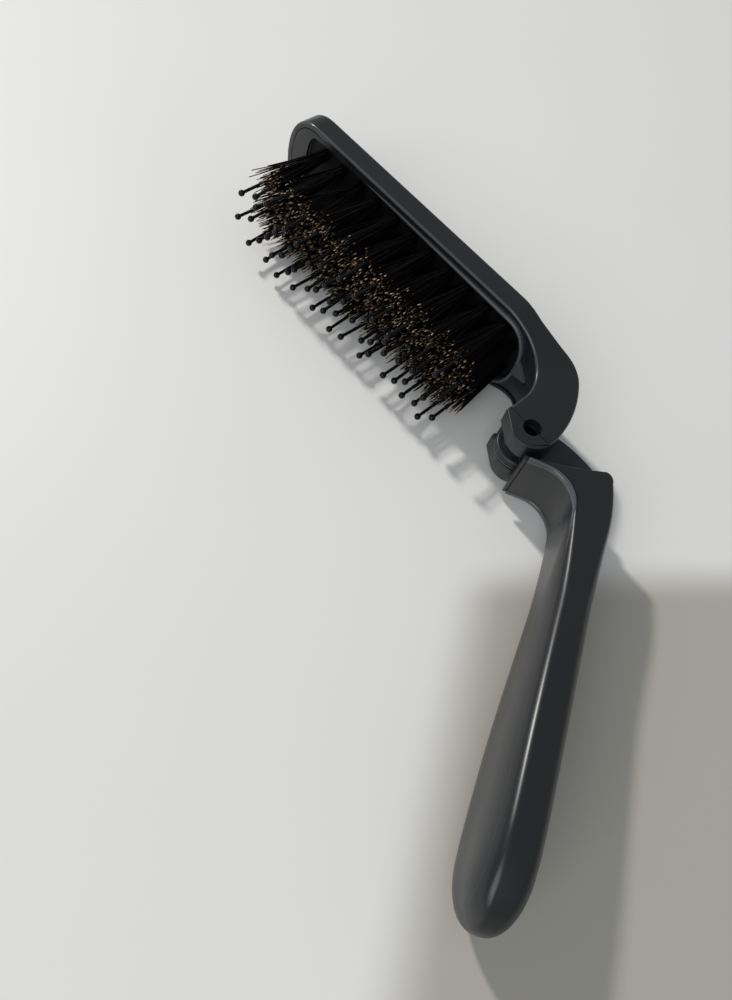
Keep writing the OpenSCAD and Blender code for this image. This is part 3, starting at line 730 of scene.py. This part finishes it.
def gripFront(p):
    return lerp(hookTop, grip["front"], smooth((p - hookCentre[0]) / grip["frontOver"]))


def gripBack(p):
    t = (p - grip["topBack"] - grip["corner"]) / grip["backOver"]
    return grip["back"] - grip["backRise"] * (1 - min(1, max(0, t))) ** 2


def gripRound(p):
    return smooth((p - grip["lip"]) / grip["roundOver"])


def gripSection(front, back, half, roundness, depth, cover):
    # section of the cover, which is a skin of the given depth, or of the shell under it
    span = (back - front).length
    along = (back - front) / span
    small = min(grip["lipEdge"], 0.4 * span, 0.4 * half)
    deep = lerp(small, grip["bow"] * span, roundness)
    wide = lerp(small, grip["round"] * half, roundness)
    flat = half - wide
    corner = lambda a: (deep * (1 - math.cos(a)), flat + wide * math.sin(a))
    turnAt = lambda d: math.acos(1 - d / deep) if d < deep else math.pi / 2
    if cover:
        gap = lerp(grip["seamGap"], grip["seamFine"], smooth((front.x - grip["lip"]) / grip["seamOver"]))
        floor = depth - min(gap, depth * 0.3)
        last = turnAt(floor)
        side = [(0, flat * t) for t in (0, 0.5, 0.99)] + [corner(last * t / 18) for t in range(1, 19)]
        edge = side[-1][1]
        side += [(floor, edge), (floor, edge * 0.5), (floor, 0)]
    else:
        first = turnAt(depth)
        edge = corner(first)[1]
        side = [(depth, 0), (depth, edge * 0.5)]
        side += [corner(lerp(first, math.pi / 2, t / 20)) for t in range(21)] if depth < deep else (
            [(depth + 0.02 * t, half) for t in range(21)])
        side += [(span - deep + deep * math.sin(a), flat + wide * math.cos(a))
                 for a in (math.pi / 2 * t / 11 for t in range(12))]
        side += [(span, flat * 0.5), (span, 0)]
    full = side + [(d, -z) for d, z in side[-2:0:-1]]
    return [onHandle(*(front + along * d), z) for d, z in full]


def gripStations():
    # front, back, half width, roundness and cover depth along the handle
    stations = []
    for i in range(73):
        t = i / 72
        front = hookFrontAt(t)
        depth = lerp(grip["coverLip"], grip["cover"], smooth(t / 0.45)) if i > 3 else 0
        stations.append((front, hookBackAt(t), gripHalf(front.x), gripRound(front.x), depth))
    for i in range(1, 11):
        front = lerp(hookCentre[0], grip["square"], i / 10)
        back = lerp(grip["topBack"] + grip["corner"], grip["square"], i / 10)
        stations.append((Vector((front, gripFront(front))), Vector((back, gripBack(back))),
                         gripHalf(front), gripRound(front), grip["cover"]))
    last = grip["reach"] - grip["bulbEnd"]
    for i in range(1, 25):
        p = lerp(grip["square"], last, i / 24)
        stations.append((Vector((p, gripFront(p))), Vector((p, grip["back"])),
                         gripHalf(p), gripRound(p), grip["cover"]))
    for i in range(1, 49):
        p = last + grip["bulbEnd"] * math.sin(math.radians(89.4 * i / 48))
        thin = dome(max(0, p - (grip["reach"] - grip["end"])) / grip["end"], grip["power"])
        middle = (gripFront(p) + grip["back"]) / 2
        half = (grip["back"] - gripFront(p)) / 2 * thin
        stations.append((Vector((p, middle - half)), Vector((p, middle + half)), gripHalf(p),
                         gripRound(p), max(0, gripFront(p) + grip["cover"] - middle + half)))
    return stations


def handleShell():
    return loft("handleShell", [gripSection(*s, cover=False) for s in gripStations()])


def handleCover():
    stations = gripStations()
    covered = [s for s in stations if s[4] > 0.01]
    last = stations[stations.index(covered[-1]) + 1]
    covered.append((*last[:4], grip["seamFine"]))
    skin = loft("handleCover", [gripSection(*s, cover=True) for s in covered])
    skin.data.materials.append(shellFinish)
    # the hook's beads are coloured lighter, a painted highlight
    beads = [hookBead(1), hookBead(-1)]
    for bead in beads:
        bead.data.materials.append(paintedBeadHighlight)
    return joined("handleCover", [skin] + beads)


def hookBead(side):
    # raised line along the edge of the hook, which sinks into the grip
    rings = []
    for front, back, half, roundness, _ in gripStations()[4:80]:
        span = (back - front).length
        along = (back - front) / span
        deep = lerp(grip["lipEdge"], grip["bow"] * span, roundness)
        wide = lerp(grip["lipEdge"], grip["round"] * half, roundness)
        slant = math.radians(grip["beadSlant"])
        inward = Vector((wide * math.cos(slant), -deep * math.sin(slant))).normalized()
        r = lerp(grip["beadRadius"], 0.02, smooth((front.x - grip["beadFrom"]) / grip["beadOver"]))
        centre = Vector((deep * (1 - math.cos(slant)), half - wide * (1 - math.sin(slant))))
        centre += inward * r * grip["beadSink"]
        rings.append([onHandle(*(front + along * (centre.x + r * math.cos(a))),
                               side * (centre.y + r * math.sin(a)))
                      for a in (math.pi * k / 6 for k in range(12))])
    return loft("hookBead", rings)


# ---- mirror

glass = dict(rim=3, gap=0.1, drop=0.2, thick=1.4, recess=1.9, bevel=0.45)


def mirrorOutline(inset, steps=48):
    half = head["width"] / 2 - glass["rim"] - inset
    start = head["neckTo"] + head["width"] / 2 - glass["rim"]
    end = head["reach"] - head["width"] / 2
    return arc((end, 0), half, -90, 90, steps) + arc((start, 0), half, 90, 270, steps)


def mirror():
    # plain glass with a ground edge, silvered behind
    back = head["back"] - glass["drop"]
    rings = []
    gap, bevel = glass["gap"], glass["bevel"]
    for inset, v in ((gap, back - glass["thick"]), (gap, back - bevel), (gap + bevel, back)):
        rings.append([onHead(p.x, v, p.y) for p in mirrorOutline(inset)])
    return loft("mirrorGlass", rings, 20)


# ---- finishes


class Finish(Graph):
    def __init__(self, name):
        self.material = bpy.data.materials.new(name)
        self.material.use_nodes = True
        super().__init__(self.material.node_tree)
        self.tree.nodes.clear()
        self.shader = self.node("ShaderNodeBsdfPrincipled")
        out = self.node("ShaderNodeOutputMaterial")
        self.tree.links.new(self.shader.outputs[0], out.inputs[0])
        self.place = self.wire("ShaderNodeTexCoord", output=3)

    def feed(self, **values):
        for key, value in values.items():
            socket = self.shader.inputs[key.replace("_", " ")]
            if isinstance(value, Wire):
                self.tree.links.new(value.socket, socket)
            else:
                socket.default_value = value
        return self

    def noise(self, scale, detail=3.0, roughness=0.55):
        return self.wire("ShaderNodeTexNoise", {}, {
            "Vector": self.place, "Scale": scale, "Detail": detail, "Roughness": roughness})

    def mixed(self, factor, first, second):
        made = self.node("ShaderNodeMix", {"data_type": "RGBA"}, {"Factor": factor, "A": first, "B": second})
        return Wire(self, made.outputs["Result"])

    def colour(self, rgb):
        return (*rgb, 1)


plastic = dict(colour=(0.008, 0.009, 0.0105), sheen=(0.0115, 0.0125, 0.0145), rough=0.31,
               roughCloud=0.12, roughSpeck=0.06, grain=0.000006, shine=0.5)


def mouldedPlastic(name, settings):
    made = Finish(name)
    broad = made.noise(55.0, 4.0)
    fine = made.noise(2600.0, 2.0, 0.6)
    speck = made.noise(900.0, 1.0)
    base = made.mixed(broad, made.colour(settings["colour"]), made.colour(settings["sheen"]))
    rough = (settings["rough"] + (broad - 0.5) * settings["roughCloud"]
             + (speck - 0.5) * settings["roughSpeck"])
    bump = made.wire("ShaderNodeBump", {}, {"Strength": 0.35, "Distance": settings["grain"],
                                           "Height": fine + broad * 2.0})
    made.feed(Base_Color=base, Roughness=rough, Normal=bump)
    made.shader.inputs["Specular IOR Level"].default_value = settings["shine"]
    return made.material


boarHair = dict(root=(0.0015, 0.0014, 0.0013), shaft=(0.003, 0.0026, 0.0023), tip=(0.1, 0.062, 0.034),
                pale=(0.62, 0.5, 0.36))


def hairFinish():
    made = Finish("boarHair")
    along = made.wire("ShaderNodeAttribute", {"attribute_name": "along"}, output=2)
    strand = made.wire("ShaderNodeAttribute", {"attribute_name": "strand"}, output=2)
    shift = along + (strand - 0.5) * 0.008
    body = made.wire("ShaderNodeValToRGB", {"stops": [
        (0.0, boarHair["root"]), (0.6, boarHair["shaft"]), (0.975, boarHair["shaft"]),
        (0.99, boarHair["tip"])]}, {0: shift})
    pale = made.wire("ShaderNodeValToRGB", {"stops": [
        (0.0, boarHair["root"]), (0.955, boarHair["shaft"]), (0.97, boarHair["tip"]),
        (0.985, boarHair["pale"])]}, {0: shift})
    chosen = made.wire("ShaderNodeMapRange", {}, {0: strand, 1: 0.62, 2: 0.95})
    made.feed(Base_Color=made.mixed(chosen, body, pale), Roughness=0.65)
    made.shader.inputs["Specular IOR Level"].default_value = 0.08
    return made.material


def nylonFinish():
    made = Finish("pinNylon")
    cloud = made.noise(400.0, 2.0)
    made.feed(Base_Color=made.mixed(cloud, (0.004, 0.004, 0.0045, 1), (0.008, 0.008, 0.009, 1)),
              Roughness=0.2 + cloud * 0.08)
    made.shader.inputs["Specular IOR Level"].default_value = 0.2
    return made.material


def mirrorFinish():
    made = Finish("silveredGlass")
    smear = made.noise(60.0, 5.0, 0.65)
    made.feed(Base_Color=made.mixed(smear, (0.86, 0.88, 0.88, 1), (0.9, 0.92, 0.92, 1)),
              Metallic=1.0, Roughness=0.015 + smear.power(3.0) * 0.06)
    return made.material


def paintedShadeSteel():
    # the steel is coloured near black, a painted shade in the hinge bore
    made = Finish("axleSteel")
    ring = made.noise(1200.0, 2.0)
    made.feed(Base_Color=made.mixed(ring, (0.004, 0.004, 0.0042, 1), (0.008, 0.008, 0.0082, 1)),
              Metallic=1.0, Roughness=0.45 + ring * 0.15)
    return made.material


def foamFinish():
    made = Finish("foamPad")
    cell = made.noise(1500.0, 3.0)
    bump = made.wire("ShaderNodeBump", {}, {"Strength": 0.5, "Distance": 0.00005, "Height": cell})
    made.feed(Base_Color=made.mixed(cell, (0.02, 0.02, 0.02, 1), (0.05, 0.05, 0.05, 1)),
              Roughness=0.9, Normal=bump)
    return made.material


# ---- the brush


def shade(name, low, high, **others):
    return mouldedPlastic(name, dict(plastic, colour=low, sheen=high, **others))


shellFinish = mouldedPlastic("shellPlastic", plastic)
frameFinish = shade("framePlastic", (0.0075, 0.0085, 0.010), plastic["sheen"], rough=0.36)
# the fold mark's flat face is coloured lighter than the plastic around it, a painted reflection
paintedMarkReflection = shade("markPlastic", (0.05, 0.055, 0.06), (0.06, 0.066, 0.072), rough=0.5)
# the rims and beads are coloured a little lighter than the rest, a painted highlight along their edges
paintedRimHighlight = shade("rimPlastic", (0.04, 0.044, 0.05), (0.05, 0.055, 0.062), rough=0.25)
paintedBeadHighlight = shade("beadPlastic", (0.065, 0.07, 0.077), (0.08, 0.086, 0.094), rough=0.25)
# the bristle plate is black plastic made darker than the shell, a painted shade in the recess under the
# bristles
plateBlackAndPaintedShade = shade("platePlastic", (0.002, 0.002, 0.0022), (0.003, 0.003, 0.0033), rough=0.6, shine=0.15)
washerFinish = shade("washerPlastic", (0.006, 0.006, 0.006), (0.009, 0.009, 0.009), rough=0.45, shine=0.3)
print("finishes made")

hairMaterial, pinMaterial = hairFinish(), nylonFinish()
tufts, pins = tuftTree(hairMaterial), pinTree(pinMaterial)
made = []


def keep(piece, material, body, slot, *nodes):
    if material:
        piece.data.materials.clear()
        piece.data.materials.append(material)
    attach(piece, body)
    if nodes:
        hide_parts(*nodes)
    made.append(piece)


keep(headShell(), None, "head", "shell_plastic", "head_back_shell")
keep(frontFrame(), None, "head", "frame_plastic", "head_front_frame")
keep(bristlePlate(), plateBlackAndPaintedShade, "head", "plate_plastic", "bristle_plate")
print("head made")
for row in range(1, field["rows"] + 1):
    roots = [onHead(u, head["front"] + 1.9, z) for u, z in rowPoints(row)]
    hairs = grown(f"boarTufts{row}", roots, tufts, tuft["seed"] + 20 * row)
    keep(hairs, None, "head", "boar_hair", f"tuft_row_{row}")
    rods = grown(f"nylonPins{row}", roots, pins, pin["seed"] + 20 * row)
    keep(rods, None, "head", "pin_nylon", f"pin_row_{row}")
print("bristles grown")
keep(mirror(), mirrorFinish(), "head", "mirror_glass", "mirror")
keep(axle(), paintedShadeSteel(), "head", "axle_steel", "hinge_axle")
keep(washer("nearWasher", 1), washerFinish, "head", "washer_nylon", "upper_washer")
keep(washer("farWasher", -1), washerFinish, "head", "washer_nylon", "lower_washer")
keep(tongue(), frameFinish, "handle", "frame_plastic", "hinge_tongue")
keep(handleShell(), shellFinish, "handle", "shell_plastic", "handle_back_shell")
keep(handleCover(), None, "handle", "frame_plastic", "handle_front_cover")
pad = frame["nodes"]["mirror_tape"]
pad.data.materials.clear()
pad.data.materials.append(foamFinish())
print("hinge, mirror and handle made")

# ---- table, light and camera

room = dict(table=(0.78, 0.78, 0.765), world=(0.5, 0.52, 0.55), worldStrength=0.56, reach=3.0)
# a shadow is painted into the table beside the handle, behind two soft edges: the heading across each edge
# in degrees, and where it starts and ends in mm from the hinge
paintedShadow = dict(sides=[(142.7, 22.9, 36.9), (213.8, -9.5, 8.5)], shadowTone=(0.52, 0.505, 0.455), fade=(0.2, 0.6))


def tableTop():
    half = room["reach"]
    piece = addMesh("tableTop", [(-half, -half, 0), (half, -half, 0), (half, half, 0), (-half, half, 0)],
                    [(0, 1, 2, 3)])
    made = Finish("paleTable")
    cloud = made.noise(7.0, 3.0)
    low, high = (0.94 * c for c in room["table"]), room["table"]
    base = made.mixed(cloud, (*low, 1), (*high, 1))
    # painted shadow: the table is darker inside both soft edges, fading out away from the hinge
    away = made.wire("ShaderNodeVectorMath", {"operation": "DISTANCE"}, {0: made.place, 1: hinge}, 1)
    shadowMask = made.wire("ShaderNodeMapRange", {"interpolation_type": "SMOOTHSTEP"},
                     {0: away, 1: paintedShadow["fade"][0], 2: paintedShadow["fade"][1], 3: 1.0, 4: 0.0})
    for heading, start, end in paintedShadow["sides"]:
        x, y = polar((0, 0), 1, heading)
        across = made.wire("ShaderNodeVectorMath", {"operation": "DOT_PRODUCT"},
                           {0: made.place, 1: (x, y, 0)}, 1)
        across = (across - (hinge.x * x + hinge.y * y)) * 1000
        shadowMask = shadowMask * made.wire("ShaderNodeMapRange", {"interpolation_type": "SMOOTHSTEP"},
                                {0: across, 1: start, 2: end})
    shadowTone = [c * d for c, d in zip(room["table"], paintedShadow["shadowTone"])]
    made.feed(Base_Color=made.mixed(shadowMask, base, (*shadowTone, 1)), Roughness=0.55)
    piece.data.materials.append(made.material)
    piece.location.z = -0.0001


def lamp(name, direction, distance, size, watts, colour=(1, 1, 1)):
    data = bpy.data.lights.new(name, "AREA")
    data.shape, data.size, data.size_y = "RECTANGLE", size[0], size[1]
    data.energy, data.color = watts, colour
    thing = bpy.data.objects.new(name, data)
    aim = hinge + Vector((-0.01, 0.02, 0))
    toward = Vector(direction).normalized()
    thing.location = aim + toward * distance
    thing.rotation_euler = toward.to_track_quat("Z", "Y").to_euler()
    bpy.context.scene.collection.objects.link(thing)


# fitted to the photograph: place in mm from the hinge, turn in degrees, lens in mm
shot = dict(place=(-31.73, 116.56, 156.11), turn=(27.556, -9.863, -131.7), lens=28.08, sensor=36)


def camera():
    data = bpy.data.cameras.new("camera")
    data.sensor_fit, data.sensor_width = "AUTO", shot["sensor"]
    data.lens = shot["lens"]
    data.clip_start, data.clip_end = 0.005, 20
    thing = bpy.data.objects.new("camera", data)
    turn = Euler([math.radians(a) for a in shot["turn"]])
    thing.matrix_world = Matrix.Translation(hinge + Vector(shot["place"]) / 1000) @ turn.to_matrix().to_4x4()
    bpy.context.scene.collection.objects.link(thing)
    bpy.context.scene.camera = thing


tableTop()
lamp("sideLamp", (0.78, -0.04, 0.62), 2.2, (0.14, 0.14), 29.5, (1.0, 0.97, 0.93))
lamp("fillLamp", (-0.1, 0.77, 0.63), 2.0, (1.5, 1.5), 18.5, (0.98, 0.99, 1.0))
world = bpy.data.worlds.new("room")
world.use_nodes = True
world.node_tree.nodes["Background"].inputs[0].default_value = (*room["world"], 1)
world.node_tree.nodes["Background"].inputs[1].default_value = room["worldStrength"]
bpy.context.scene.world = world
bpy.context.scene.view_settings.view_transform = "Standard"
camera()

print("scene made:", sum(len(p.data.polygons) for p in made), "faces")
